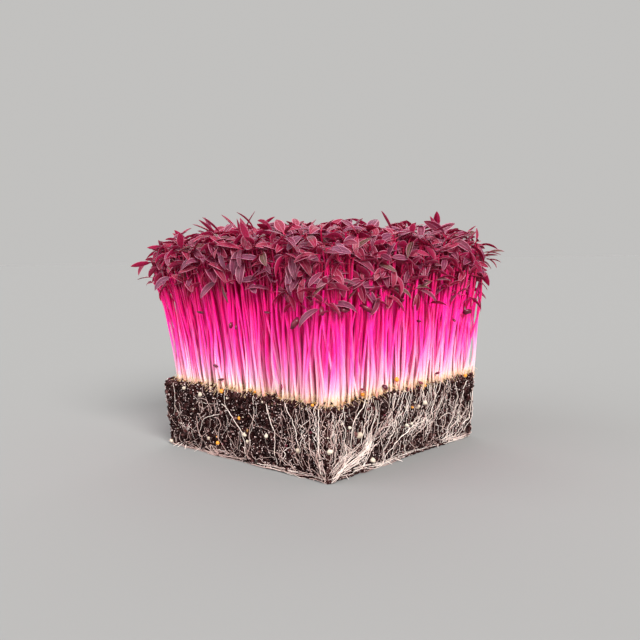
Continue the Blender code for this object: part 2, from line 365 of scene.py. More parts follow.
def grainMaterial(name):
    dark, light, roughness = grainFinish[name]
    made, start = newMaterial(name)
    patch = mottle(start, 1.2 * mm, 4.0)
    tint = attribute(start, "tint")
    return dress(made, {"Specular IOR Level": 0.4}, {
        "Base Color": (patch * 0.8 + tint * 0.6 - 0.2).blend(dark, light),
        "Roughness": patch * 0.2 + (roughness - 0.1),
        "Normal": bump(start, patch, 0.5, 0.15 * mm),
    })


# Shapes that repeat: each is modelled once, and its copies are joined in a piece

class Shape:
    def __init__(self, obj):
        mesh = obj.data
        self.points = np.array([vertex.co for vertex in mesh.vertices])
        self.corners = np.array([i for face in mesh.polygons for i in face.vertices])
        self.sizes = np.array([len(face.vertices) for face in mesh.polygons])
        self.tags = {}
        bpy.data.objects.remove(obj)


class Batch:  # copies of one shape, with their own points and values
    def __init__(self, shape, finish=0):
        self.shape, self.finish = shape, finish
        self.points, self.values = [], {}

    def add(self, points, **values):
        self.points.append(points)
        for key, value in values.items():
            self.values.setdefault(key, []).append(np.broadcast_to(value, len(points)))

    def spread(self, key):  # 0 where this batch has no such value
        if key in self.values:
            return np.concatenate(self.values[key])
        return np.zeros(len(self.points) * len(self.shape.points))


def joined(name, batches, materials, sharpAngle=None):
    points, corners, sizes, finishes, count = [], [], [], [], 0
    for batch in batches:
        copies, each = len(batch.points), len(batch.shape.points)
        points.append(np.concatenate(batch.points))
        offsets = count + np.arange(copies)[:, None] * each
        corners.append((batch.shape.corners[None, :] + offsets).ravel())
        sizes.append(np.tile(batch.shape.sizes, copies))
        finishes.append(np.full(copies * len(batch.shape.sizes), batch.finish))
        count += copies * each
    points, corners, sizes = np.concatenate(points), np.concatenate(corners), np.concatenate(sizes)
    mesh = bpy.data.meshes.new(name)
    mesh.vertices.add(len(points))
    mesh.vertices.foreach_set("co", points.astype(np.float32).ravel())
    mesh.loops.add(len(corners))
    mesh.loops.foreach_set("vertex_index", corners.astype(np.int32))
    mesh.polygons.add(len(sizes))
    mesh.polygons.foreach_set("loop_start", (np.cumsum(sizes) - sizes).astype(np.int32))
    mesh.polygons.foreach_set("material_index", np.concatenate(finishes).astype(np.int32))
    mesh.update(calc_edges=True)
    for key in sorted({key for batch in batches for key in batch.values}):
        setAttribute(mesh, key, np.concatenate([batch.spread(key) for batch in batches]))
    for material in materials:
        mesh.materials.append(material)
    mesh.validate()
    piece = bpy.data.objects.new(name, mesh)
    bpy.context.scene.collection.objects.link(piece)
    onlySelect(piece)
    if sharpAngle:
        bpy.ops.object.shade_smooth_by_angle(angle=math.radians(sharpAngle))
    else:
        bpy.ops.object.shade_smooth()
    return piece


def turned(rand):  # a random turn of a loose grain
    angle, axis = rand.uniform(0, math.tau), Vector([rand.gauss(0, 1) for _ in range(3)])
    return np.array(Matrix.Rotation(angle, 3, axis.normalized()))


stemStations = (0.05, 0.12, 0.21, 0.32, 0.44, 0.56, 0.68, 0.80, 0.91)  # rings at these shares of the height


def stemShape():
    bpy.ops.mesh.primitive_cylinder_add(vertices=6, radius=1, depth=1, location=(0, 0, 0.5))
    stem = added()
    bpy.ops.object.transform_apply(location=True)
    bisectAt(stem, 2, stemStations)
    return Shape(stem)


leafForm = {
    "stations": (0.16, 0.26, 0.38, 0.54, 0.70, 0.84, 0.94, 0.985),
    "stalk": 0.15,  # share of the length that is stalk
    "narrowest": (0.13, 0.12),  # the stalk and the tip, as shares of the full width
    "crease": (0, 0.25),  # across and up, as the next three are
    "swell": (0.62, 0.9),
    "edge": (1, 0),
    "underside": (0, -1),
    "thickness": 0.10,
}


def leafWidth(along):  # share of the full width at this share of the length
    stalk, tip = leafForm["narrowest"]
    if along > 0.995:
        return tip
    blade = (along - leafForm["stalk"]) / (1 - leafForm["stalk"])
    return max(stalk, math.sin(math.pi * max(0, blade) ** 0.98) ** 0.70)


def leafShape():  # a ring is an underside, two edges, and a top with a crease between two swells
    quarter = math.pi / 2
    bpy.ops.mesh.primitive_cylinder_add(
        vertices=6, radius=1, depth=1, location=(0.5, 0, 0), rotation=(quarter, 0, quarter))
    leaf = added()
    bpy.ops.object.transform_apply(location=True, rotation=True)
    bisectAt(leaf, 0, leafForm["stations"])
    for vertex in leaf.data.vertices:
        x, y, z = vertex.co
        width, centred = leafWidth(x), abs(y) < 0.1
        above, below = ("crease", "underside") if centred else ("swell", "edge")
        out, up = leafForm[above if z > 0 else below]
        vertex.co.y = (y if centred else math.copysign(out, y)) * width
        vertex.co.z = up * leafForm["thickness"] * width ** 0.5
    shape = Shape(leaf)
    along, side, up = shape.points.T
    across = np.abs(side) / [leafWidth(x) for x in along]
    under = np.where((across < 0.1) & (up < 0), 1.0, np.where(across > 0.9, 0.5, 0.0))
    shape.tags = {"along": along, "across": across, "under": under}
    return shape


def lumpShape(seed, subdivisions, rough, flat=1.0):
    bpy.ops.mesh.primitive_ico_sphere_add(subdivisions=subdivisions, radius=1)
    lump = added()
    for vertex in lump.data.vertices:
        vertex.co *= 1 + rough * noise.noise(vertex.co * 1.7 + Vector((seed, 0, 0)))
        vertex.co.z *= flat
    return Shape(lump)


# Soil block

soilForm = {
    "topSide": 100.0 * mm,
    "footSide": 96.5 * mm,
    "height": 29.3 * mm,
    "edge": 1.4 * mm,  # rounding of the block's edges
    "cell": 0.80 * mm,
    "clods": (2.2 * mm, 9 * mm),  # relief, and size of its features
    "crumble": (1.5 * mm, 2.2 * mm),
    "footBand": 4 * mm,  # lower than this, the soil is pressed flat
    "footSink": 0.5 * mm,
    "crumbs": 7400,
    "crumbSize": (0.24 * mm, 0.80 * mm),
    "large": (0.05, 1.6),  # share of the crumbs, and how much larger they are
    "rimCrumbs": 1000,  # heaped between the outer stems
    "rimCrumbSize": (0.30, 0.85),
    "heap": 1.5 * mm,
    "tanShare": 0.45,
    "specks": 3500,
    "speckSize": (0.10 * mm, 0.25 * mm),
}


def displaced(obj, name, strength, size):
    texture = bpy.data.textures.new(name, "CLOUDS")
    texture.noise_scale = size
    texture.noise_depth = 3
    modifier = obj.modifiers.new(name, "DISPLACE")
    modifier.texture, modifier.texture_coords = texture, "LOCAL"
    modifier.strength, modifier.mid_level = strength, 0.5


def addHollowShade(mesh):  # 1 in the hollows and 0 on the swells, for painted shade in the soil's colour
    count = len(mesh.vertices)
    points, normals = np.empty(count * 3), np.empty(count * 3)
    mesh.vertices.foreach_get("co", points)
    mesh.vertices.foreach_get("normal", normals)
    edges = np.empty(len(mesh.edges) * 2, np.int32)
    mesh.edges.foreach_get("vertices", edges)
    points, normals, (first, second) = points.reshape(-1, 3), normals.reshape(-1, 3), edges.reshape(-1, 2).T
    near = np.bincount(first, minlength=count) + np.bincount(second, minlength=count)
    smooth = points
    for _ in range(8):
        total = np.zeros_like(smooth)
        np.add.at(total, first, smooth[second])
        np.add.at(total, second, smooth[first])
        smooth = total / near[:, None]
    hollow = np.einsum("ij,ij->i", smooth - points, normals) / (0.8 * mm)
    setAttribute(mesh, "cavity", np.clip(0.5 + hollow, 0, 1))


def makeSoil():
    form = soilForm
    side, height = form["topSide"], form["height"]
    bpy.ops.mesh.primitive_cube_add(size=1, location=(0, 0, height / 2), scale=(side, side, height))
    soil = added()
    soil.name = "soil"
    bpy.ops.object.transform_apply(location=True, scale=True)
    for vertex in soil.data.vertices:
        if vertex.co.z < mm:
            vertex.co.xy *= form["footSide"] / side
    bpy.ops.object.mode_set(mode="EDIT")
    bpy.ops.mesh.select_all(action="SELECT")
    bpy.ops.mesh.bevel(offset=form["edge"], segments=3, affect="EDGES")
    bpy.ops.object.mode_set(mode="OBJECT")
    remesh = soil.modifiers.new("cells", "REMESH")
    remesh.mode, remesh.voxel_size = "VOXEL", form["cell"]
    displaced(soil, "clods", *form["clods"])
    displaced(soil, "crumble", *form["crumble"])
    applyAll(soil)
    for vertex in soil.data.vertices:
        if vertex.co.z < form["footBand"]:
            vertex.co.z = max(0.0, vertex.co.z - form["footSink"])
    soil.data.materials.clear()
    soil.data.materials.append(soilMaterial())
    addHollowShade(soil.data)
    bpy.ops.object.shade_smooth()
    putOn(soil, "soil", "soil_block")
    print("soil", len(soil.data.polygons), "faces")
    return soil


def surfaceSpots(soil, rand, count, choose):  # places on the chosen faces of the soil, with their normals
    faces = [face for face in soil.data.polygons if choose(face)]
    for face in rand.choices(faces, k=count):
        yield np.array(face.center), np.array(face.normal)


def edgeDistance(face):
    return max(abs(face.center.x), abs(face.center.y))


def settle(batch, rand, place, sizes, **values):  # one grain, turned at random and never below the floor
    points = batch.shape.points * sizes @ turned(rand) + place
    batch.add(np.maximum(points, [-1, -1, 0.0]), tint=rand.random(), **values)


def makeCrumbs(soil):
    form, rand = soilForm, random.Random(61)
    shapes = [lumpShape(seed, 1, 0.6) for seed in (1, 7, 13)]
    crumbs = [Batch(shape) for shape in shapes]
    rounded = [Batch(lumpShape(seed, 1, 0.25)) for seed in (4, 9)]

    def shows(face):
        return face.center.z > 0.6 * mm and (face.normal.z < 0.6 or edgeDistance(face) > 40 * mm)

    def onRim(face):
        return face.normal.z > 0.5 and 44.5 * mm < edgeDistance(face) < 49 * mm

    def drop(kinds, place, normal, size, lifted, tan):
        batch = rand.choice(kinds)
        sizes = [size, size * rand.uniform(0.6, 1), size * rand.uniform(0.5, 0.9)]
        settle(batch, rand, place + normal * lifted, sizes, tan=tan)

    share, larger = form["large"]
    for place, normal in surfaceSpots(soil, rand, form["crumbs"], shows):
        size = rand.uniform(*form["crumbSize"]) * rand.uniform(0.5, 1) * (larger if rand.random() < share else 1)
        drop(crumbs, place, normal, size, size * 0.25, 0)
    for place, normal in surfaceSpots(soil, rand, form["rimCrumbs"], onRim):
        size = rand.uniform(*form["rimCrumbSize"]) * mm
        lifted = rand.uniform(0, 1) ** 2 * form["heap"]
        drop(rounded, place, normal, size, lifted, 0.8 * (rand.random() < form["tanShare"]))
    putOn(joined("soil_crumbs", crumbs + rounded, [crumbMaterial()], 40), "soil")
    specks = Batch(shapes[0])
    for place, normal in surfaceSpots(soil, rand, form["specks"], shows):
        size = rand.uniform(*form["speckSize"])
        points = specks.shape.points * size @ turned(rand) + place + normal * rand.uniform(0.2, 0.7) * mm
        specks.add(np.maximum(points, [-1, -1, 0.0]), tint=rand.random())
    putOn(joined("soil_specks", [specks], [grainMaterial("speck")], 40), "soil")
    print("crumbs", form["crumbs"] + form["rimCrumbs"], "specks", form["specks"])


# Roots

# The thicker roots of the two sides that were drawn from life, parted by commas: a radius in hundredths
# of a mm, then places along the side and up it, in half millimetres
drawnRoots = {
    "front": """
        25 -54 42 -52 45 -49 47 -45 48 -41 47 -38 44 -35 41 -34 38 -34 35, 19 -50 50 -50 44 -48 40 -44
        39 -46 36 -50 33 -52 30, 12 -50 33 -47 30 -47 27, 15 -44 39 -39 42 -38 42 -37 38 -37 34, 23 -28
        48 -30 45 -29 41 -30 35, 28 -10 42 -15 41 -21 38 -26 36 -34 34 -40 32 -44 30 -47 26 -49 22 -52
        17 -52 13, 23 -55 31 -54 26 -53 21 -51 15 -49 12 -51 8 -54 3, 36 -20 46 -15 44 -10 42 -7 40 -3
        36 -1 32 1 28 3 25 5 20 6 16 6 11 6 5, 19 -14 35 -13 32 -8 30 -3 29 0 28, 25 -30 33 -26 33 -23
        31 -22 28 -24 24 -26 19 -27 15 -29 10 -32 6, 19 -24 29 -28 26 -33 23, 23 -39 20 -44 17 -49 13
        -52 9 -56 5, 20 -32 23 -30 20 -27 16 -24 13 -19 9 -15 6 -11 4 -7 3, 15 -15 21 -11 18 -7 14 -4
        11, 19 -44 6 -38 4 -33 2 -26 1 -19 1, 16 -63 4 -57 2 -51 0 -43 -1, 17 -95 31 -93 27 -90 23 -88
        19 -86 18, 21 -81 24 -79 20 -75 17 -73 15, 12 -80 32 -76 29 -69 30 -65 28 -65 24, 14 -81 12 -81
        8 -79 5 -74 4, 12 -37 33 -36 27 -38 23 -43 22, 15 -45 23 -44 20 -42 16 -40 13, 12 -28 33 -28 28
        -30 24 -29 19, 12 -20 29 -16 26 -15 21 -17 17, 12 -1 25 -1 18 -3 11, 15 -72 4 -67 5 -62 8 -56
        11, 14 -25 43 -22 40 -22 36, 20 -61 -5 -55 -2 -49 0 -42 2 -36 1, 25 20 43 19 39 17 35 14 30 14
        25 13 19 12 13 10 6 11 4, 12 14 31 19 33 24 36, 30 35 53 36 49 38 44 40 40 42 36 43 32 43 26 42
        20 42 13 43 6, 14 21 33 28 33 35 32 41 31, 16 55 50 53 48 52 44 50 39 46 35 43 32, 20 44 31 47
        29 52 28 57 29 62 27 65 27, 29 57 56 60 51 63 47 65 42 67 36 68 31 69 25, 15 67 54 66 51 64 46,
        17 69 53 67 48 67 44 67 39, 15 72 53 72 49 74 42 74 39, 17 76 54 75 48 76 42 77 39 77 36, 17 53
        48 56 44 58 40 58 35 60 30 62 27 64 20, 23 55 27 53 22 50 15 48 9 46 4, 15 58 25 62 19 65 15 68
        11 72 7, 17 44 16 50 13 56 9 62 6 69 5, 15 30 18 35 16 41 16 47 14 52 11 58 9, 15 26 9 31 9 38
        11 41 11, 19 15 10 18 6 21 6 25 8 28 5 33 3, 23 88 45 83 43 80 40 77 36 73 33 70 30, 12 68 37 70
        35 73 33, 38 91 56 91 51 90 46 90 40 90 34 90 26 90 19 89 12 90 7, 16 81 54 85 52 88 48 89 45,
        19 81 55 86 57 91 55 94 58 97 60, 20 81 51 81 45 80 41 79 37 80 33 81 27 82 22 84 18 86 13 89 9,
        16 98 55 96 50 93 43 92 39 91 34, 16 75 31 76 26 78 22 81 15, 15 77 29 73 23 72 16 75 12 78 7,
        16 80 21 79 15 78 7, 16 80 9 86 6 91 5 94 2, 16 88 9 92 5 94 2, 15 91 16 92 12 95 8, 14 68 27 67
        21 69 16 67 10, 14 71 26 72 21 70 15 72 10, 14 48 26 47 20 48 15, 12 60 19 61 14 65 9, 16 101 54
        100 47 100 40 98 35 97 28
    """,
    "right": """
        19 -98 53 -98 47 -97 40 -97 36 -96 30 -97 26 -96 18 -96 12, 20 -95 54 -92 51 -91 48 -91 43 -92
        38 -92 33 -92 28 -92 21 -91 15 -89 11, 30 -89 47 -86 46 -84 43 -82 39 -82 33 -82 25 -80 20 -81
        12, 23 -82 52 -83 49 -83 43, 24 -58 57 -59 53 -62 51 -65 48 -69 44 -71 42 -73 37 -74 33 -74 28
        -75 25, 16 -77 40 -76 38 -77 33 -76 27, 15 -90 44 -87 36 -84 31, 29 -53 20 -60 16 -65 14 -72 11
        -79 9 -86 6 -91 3 -94 1, 26 -53 19 -54 13 -58 8 -61 5 -66 4 -74 3 -83 4, 23 -65 13 -65 10 -61 5
        -57 2, 20 -41 20 -46 18 -50 16 -59 15, 29 -22 27 -27 23 -30 17 -33 13 -35 8 -34 5, 23 -39 24 -37
        19 -34 13 -33 7 -30 3, 25 -33 5 -36 1 -42 0 -49 2 -55 3, 24 -11 49 -15 42 -18 35 -20 30 -19 26,
        17 -36 55 -32 51 -30 47 -32 43 -39 40, 19 -37 37 -40 33 -45 28 -48 24, 19 -30 44 -32 36 -37 32
        -42 29, 12 -65 43 -62 37 -61 34, 12 -55 44 -58 38 -62 36, 12 -81 49 -76 49 -71 50 -68 49, 15 -87
        20 -88 15 -91 12 -94 6, 16 -85 22 -84 18 -86 14 -88 10, 14 -94 14 -90 10 -96 9, 28 -80 20 -80 15
        -82 11 -86 7 -92 4, 17 -55 52 -53 48 -49 43, 15 -42 22 -39 16 -39 11, 16 -24 43 -29 37 -35 33
        -39 30, 21 32 54 33 49 32 44 33 40 36 37 34 31 33 28 36 24 36 17 35 14, 17 44 49 43 44 40 39 36
        36, 16 48 56 50 51 50 46 48 42 48 38, 25 67 54 68 47 70 43 69 36 68 31 65 26, 34 85 53 82 50 79
        44 77 37 74 31 73 25 72 18 69 17, 26 42 25 46 27 51 28 57 28 63 25 68 22 72 20, 29 95 42 94 35
        93 27 91 18 84 15 78 11 73 8 66 5, 26 61 20 58 16 56 12 52 7 48 3, 19 70 18 64 14 57 9 52 6, 29
        22 30 17 28 10 27 4 25 -2 22 -10 20 -14 19 -21 16, 20 18 29 19 23 20 16 19 9 23 5, 23 23 30 24
        22 22 16 22 13, 26 20 37 17 33 12 30 8 25 5 20 3 17, 17 14 38 10 33 6 29, 23 -5 44 -8 39 -11 34
        -15 30, 17 -11 48 -14 42 -16 40, 26 0 53 -2 47 -5 42 -8 38, 19 59 55 58 48 60 40 60 34 55 30, 17
        51 11 44 9 34 9 27 8, 17 28 43 25 39 22 35, 14 58 39 64 36 66 32 68 29, 28 15 59 17 52 16 47 19
        42, 15 86 20 82 15 76 12, 15 53 28 53 23 50 17 47 14, 15 34 13 31 9 27 7, 12 11 21 7 16 3 13, 26
        -58 58 -60 53 -71 44 -73 35 -75 24, 23 -42 20 -49 17 -53 11 -61 5 -66 3, 34 6 27 -5 21 -16 18
        -23 13 -30 9 -34 4 -41 1, 26 -64 13 -78 10 -87 8 -95 1
    """,
}

# Fans of fine roots: how many, and the places of one edge and then of the other, in half millimetres
rootFans = {
    "front": """
        9 80 27 83 20 88 11 91 5 92 29 92 20 92 12 94 4, 6 45 28 49 20 55 12 68 5 80 35 81 25 85 15 91
        7, 8 59 54 60 42 66 29 69 16 99 57 98 46 93 34 90 20, 6 -44 7 -32 3 -21 1 -27 15 -14 8 -1 4, 6
        -79 24 -76 20 -75 16 -60 23 -60 19 -63 16, 6 -99 1.6 -61 1.8 -35 2.8 -7 3 13 3.2 -98 0.4 -59 0.4
        -32 0.4 -7 0.4 13 0.4, 7 8 3 32 4 57 4 80 5 96 5 8 0.4 32 0.6 56 0.6 79 1 96 1
    """,
    "right": """
        22 -52 57 -51 47 -58 36 -61 24 -72 18 -91 7 -95 3 -45 56 -41 43 -46 30 -51 19 -59 13 -81 7 -93
        1, 16 -87 47 -85 34 -84 26 -82 19 -92 10 -95 3 -81 46 -79 33 -78 25 -68 19 -82 11 -93 1, 16 -26
        51 -32 41 -41 33 -49 24 -8 50 -10 38 -16 27 -34 17, 12 12 38 2 30 -12 22 26 36 26 29 8 20, 11
        -99 57 -99 42 -98 27 -97 11 -83 53 -83 38 -83 22 -94 8, 12 26 41 24 33 19 23 14 11 61 51 61 39
        56 21 50 2, 15 63 51 63 35 61 20 49 4 96 44 96 28 91 18 66 3, 6 4 30 1 24 -7 18 20 30 16 23 5
        16, 9 12 55 12 52 15 47 20 53 20 49 21 44, 9 56 12 51 6 48 2 73 8 67 4 59 2, 18 46 5 67 4.4 95
        4.8 48 0.6 69 0.4 96 0.8, 5 -98 4 -63 7 -37 4 -17 5 11 4 48 1.6 -98 2 -62 4 -35 1 -15 2 13 1 50
        0.4
    """,
}

rootForm = {  # radii in mm, and where there are four values, one for each side
    "reach": 48.5,  # along the side, in mm
    "thickness": 0.54,  # of the drawn roots' radii
    "kept": 0.82,  # share of the drawn roots that a hidden side repeats, moved and mirrored
    "forking": 0.14,  # a drawn root thicker than this has side roots
    "branches": (1, 3),
    "branchLength": (3, 9),
    "fanRadius": (0.065, 0.140),
    "fanDrift": 0.50,  # how far a fine root strays across its fan
    "fanSteps": 12,
    "fine": (38, 64, 60, 66),
    "fineLean": (0.16, -0.30, 0.10, -0.2),
    "fineRadius": (0.050, 0.100),
    "runners": (14, 34, 22, 30),  # from the rim over the edge and down
    "runnerMiddle": (42, 20, 42, 20),  # where along the side most of them start, in mm
    "runnerRadius": (0.07, 0.14),
    "fuzz": 28,
    "fuzzRadius": (0.04, 0.07),
    "footStrands": 3,
    "footRadius": (0.05, 0.15),
    "footStep": 1.5 * mm,
    "wisps": 45,  # along the foot
    "wispRadius": (0.05, 0.13),
    "stubs": 4,  # that stand out at the foot
    "stubRadius": (0.12, 0.28),
}


def sideHalf(height):
    share = height / soilForm["height"]
    return (soilForm["footSide"] + (soilForm["topSide"] - soilForm["footSide"]) * share) / 2


class Side:  # one side of the block: routes on it are (along, height, proud) and hug the soil
    def __init__(self, number, tree):
        self.turn = sideTurn(number)
        self.tree = tree
        self.strands = []

    def place(self, along, height, proud):
        height = min(max(height, 0.25 * mm), soilForm["height"] - 0.4 * mm)
        along = min(max(along, -sideHalf(height) + 0.2 * mm), sideHalf(height) - 0.2 * mm)
        outside = self.turn @ Vector((along, -sideHalf(height) - 8 * mm, height))
        hit = self.tree.ray_cast(outside, self.turn @ Vector((0, 1, 0)), 14 * mm)[0]
        if hit is None:
            hit = self.turn @ Vector((along, -sideHalf(height), height))
        return hit + self.turn @ Vector((0, -proud, 0))

    def strand(self, route, radius, thin=0.45, finish=0):
        last = len(route) - 1
        points = []
        for i, (along, height, proud) in enumerate(route):
            size = radius * (1 - (1 - thin) * i / last)
            spot = self.place(along, height, proud + size * 0.5)
            spot.z = max(spot.z, size)
            points.append((spot, size))
        self.strands.append((points, finish))

    def lay(self, rand, route, proud, radius, thin, finish, fewest=4):  # proud and radius are in mm
        if len(route) >= fewest:
            route = laid(route, rand, pick(rand, proud) * mm)
            radius = pick(rand, radius) * mm
            self.strand(route, radius, thin, rand.choice(finish) if isinstance(finish, tuple) else finish)


def pick(rand, value):  # a pair is a range
    return rand.uniform(*value) if isinstance(value, tuple) else value


def curved(points, rand, step=1.1 * mm, kink=0.06 * mm):  # a smooth route through the points, with small kinks
    points = [Vector(point) for point in points]
    points = [points[0] * 2 - points[1], *points, points[-1] * 2 - points[-2]]
    route = []
    for before, start, end, after in zip(points, points[1:], points[2:], points[3:]):
        count = max(1, round((end - start).length / step))
        for i in range(count):
            t = i / count
            spot = start * 2 + (end - before) * t + (before * 2 - start * 5 + end * 4 - after) * t ** 2
            spot = (spot + (start * 3 - before - end * 3 + after) * t ** 3) / 2
            route.append(spot + Vector((rand.gauss(0, kink), rand.gauss(0, kink))))
    return [tuple(spot) for spot in route + [points[-2]]]


def tableRows(text):
    return [[float(word) for word in row.split()] for row in text.split(",")]


def pairs(row, flip, shift):  # a drawn row of half millimetres as places
    return [((a / 2 * flip + shift) * mm, h / 2 * mm) for a, h in zip(row[::2], row[1::2])]


def wander(rand, along, height, heading, length, turn=0.5, step=1.1 * mm):  # a fine root that finds its way down
    route = [(along, height)]
    while length > 0:
        course = heading + rand.gauss(0, turn)
        heading += rand.gauss(0, 0.12)
        along += math.cos(course) * step
        height += math.sin(course) * step
        if height < 0.5 * mm or abs(along) > 48.8 * mm:
            break
        route.append((along, height))
        length -= step
    return route


def between(edge, share):  # the place at this share of a route
    at = share * (len(edge) - 1)
    i = min(len(edge) - 2, int(at))
    return Vector(edge[i]).lerp(Vector(edge[i + 1]), at - i)


def laid(route, rand, proud, arch=0.0):  # adds how far each point stands off the soil
    last = max(1, len(route) - 1)
    return [
        (along, height, proud * rand.uniform(0.6, 1.1) + arch * math.sin(math.pi * i / last))
        for i, (along, height) in enumerate(route)
    ]


def growDrawn(side, rand, source, flip, hidden):
    form = rootForm
    bold, paler = (0.12, (0, 0, 0, 1)) if source == "right" else (0.15, (0, 1, 1))
    for radius, *row in tableRows(drawnRoots[source]):
        if hidden and rand.random() > form["kept"]:
            continue
        shift = rand.uniform(-5, 5) if hidden else 0
        route = curved(pairs(row, flip, shift), rand)
        radius *= form["thickness"] / 100
        arch = rand.choice((0, 0.1, 0.3)) * mm
        side.strand(laid(route, rand, 0.45 * mm, arch), radius * mm, 0.7, 0 if radius > bold else 1)
        if radius > form["forking"]:
            for _ in range(rand.randint(*form["branches"])):
                at = rand.randrange(1, max(2, len(route) - 2))
                heading = -math.pi / 2 + rand.choice((-1, 1)) * rand.uniform(0.3, 1.1)
                branch = wander(rand, *route[at], heading, rand.uniform(*form["branchLength"]) * mm, 0.3)
                side.lay(rand, branch, 0.35, (radius * 0.3, radius * 0.5), 0.5, 1)
    for count, *row in tableRows(rootFans[source]):
        shift, middle = rand.uniform(-6, 6) if hidden else 0, len(row) // 2
        edges = [pairs(edge, flip, shift) for edge in (row[:middle], row[middle:])]
        left, right = (curved(edge, rand, 1.2 * mm, 0) for edge in edges)
        for _ in range(int(count)):
            share, drift = rand.random(), rand.gauss(0, form["fanDrift"])
            start, stop = rand.uniform(0, 0.50), rand.uniform(0.6, 1)
            route, last = [], form["fanSteps"]
            for i in range(last + 1):
                t = start + (stop - start) * i / last
                across = min(1.25, max(-0.25, share + drift * i / last + rand.gauss(0, 0.05)))
                route.append(tuple(between(left, t).lerp(between(right, t), across)))
            radius = rand.uniform(*form["fanRadius"]) * (1.6 if rand.random() < 0.12 else 1)
            side.lay(rand, route, (0.2, 0.8), radius, 0.7, paler)


def growSide(side, number, rand):
    form = rootForm
    growDrawn(side, rand, ("front", "right")[number % 2], -1 if number > 1 else 1, number > 1)
    down, reach = -math.pi / 2 + form["fineLean"][number], form["reach"]
    for _ in range(form["fine"][number]):
        start, top = rand.uniform(-reach, reach) * mm, rand.uniform(1.5, 27.5) * mm
        route = wander(rand, start, top, down + rand.gauss(0, 0.45), rand.uniform(6, 20) * mm, 0.14)
        side.lay(rand, route, (0.1, 0.5), form["fineRadius"], 0.6, (0, 1))
    for _ in range(form["runners"][number]):
        start = rand.triangular(-48, 48, form["runnerMiddle"][number]) * mm
        route = wander(rand, start, 28.7 * mm, down + rand.gauss(0, 0.2), rand.uniform(5, 22) * mm, 0.2)
        side.lay(rand, route, 0.4, form["runnerRadius"], 0.5, (0, 0, 1))
    for _ in range(form["fuzz"]):
        start, top = rand.uniform(-reach, reach) * mm, rand.uniform(0.8, 28) * mm
        heading, length = rand.uniform(-math.pi, 0), rand.uniform(1.5, 4) * mm
        route = wander(rand, start, top, heading, length, 0.7, 0.9 * mm)
        side.lay(rand, route, (0.1, 0.6), form["fuzzRadius"], 0.7, 2, 3)
    for _ in range(form["footStrands"]):
        start, height = rand.uniform(-49, 42) * mm, rand.uniform(0.1, 1.0) ** 2 * 2.0 * mm
        length, route, rise = rand.uniform(8, 40) * mm, [], 0.0
        for i in range(int(length / form["footStep"]) + 3):
            rise = rise * 0.85 + rand.gauss(0, 0.22) * mm
            along = start + i * form["footStep"]
            if along < reach * mm:
                route.append((along, max(0.25 * mm, height + rise)))
        side.lay(rand, route, (0, 0.9), form["footRadius"], 0.7, (1, 1, 2))
    for _ in range(form["wisps"]):
        start, top = rand.uniform(-48, 48) * mm, rand.uniform(0.6, 3) * mm
        heading = rand.choice((0, math.pi)) + rand.gauss(0, 0.5)
        route = wander(rand, start, top, heading, rand.uniform(2, 7) * mm)
        side.lay(rand, route, (0.2, 1.1), form["wispRadius"], 0.6, 1, 3)
    for _ in range(form["stubs"]):
        along, lean, length = rand.uniform(-46, 46) * mm, rand.uniform(-0.9, 0.9), rand.uniform(1.5, 4.5) * mm
        route = [(along + lean * length * s, (1.4 - s * 1.1) * mm, length * s) for s in (0, 0.35, 0.7, 1)]
        side.strand(route, pick(rand, form["stubRadius"]) * mm, 0.5)


def tubes(name, strands, materials):  # one curve with a spline for each strand, made a mesh
    curve = bpy.data.curves.new(name, "CURVE")
    curve.dimensions, curve.bevel_depth, curve.bevel_resolution, curve.use_fill_caps = "3D", mm, 0, True
    for material in materials:
        curve.materials.append(material)
    for points, finish in strands:
        spline = curve.splines.new("POLY")
        spline.points.add(len(points) - 1)
        spline.material_index = finish
        for point, (spot, radius) in zip(spline.points, points):
            point.co = (*spot, 1)
            point.radius = radius / mm
    bpy.context.scene.collection.objects.link(bpy.data.objects.new(name, curve))
    onlySelect(bpy.data.objects[name])
    bpy.ops.object.convert(target="MESH")
    piece = bpy.context.object
    bpy.ops.object.shade_smooth()
    return piece


def makeRoots(soil):
    tree = BVHTree.FromObject(soil, bpy.context.evaluated_depsgraph_get())
    finishes = [rootMaterial(name) for name in ("main root", "fine root", "root hair")]
    for number, name in enumerate(("front", "right", "back", "left")):
        side = Side(number, tree)
        growSide(side, number, random.Random(71 + number))
        piece = tubes("roots_" + name, side.strands, finishes)
        putOn(piece, "roots", "root_net_" + name)
        print("roots", name, len(side.strands), "strands", len(piece.data.polygons), "faces")


# The stand of seedlings

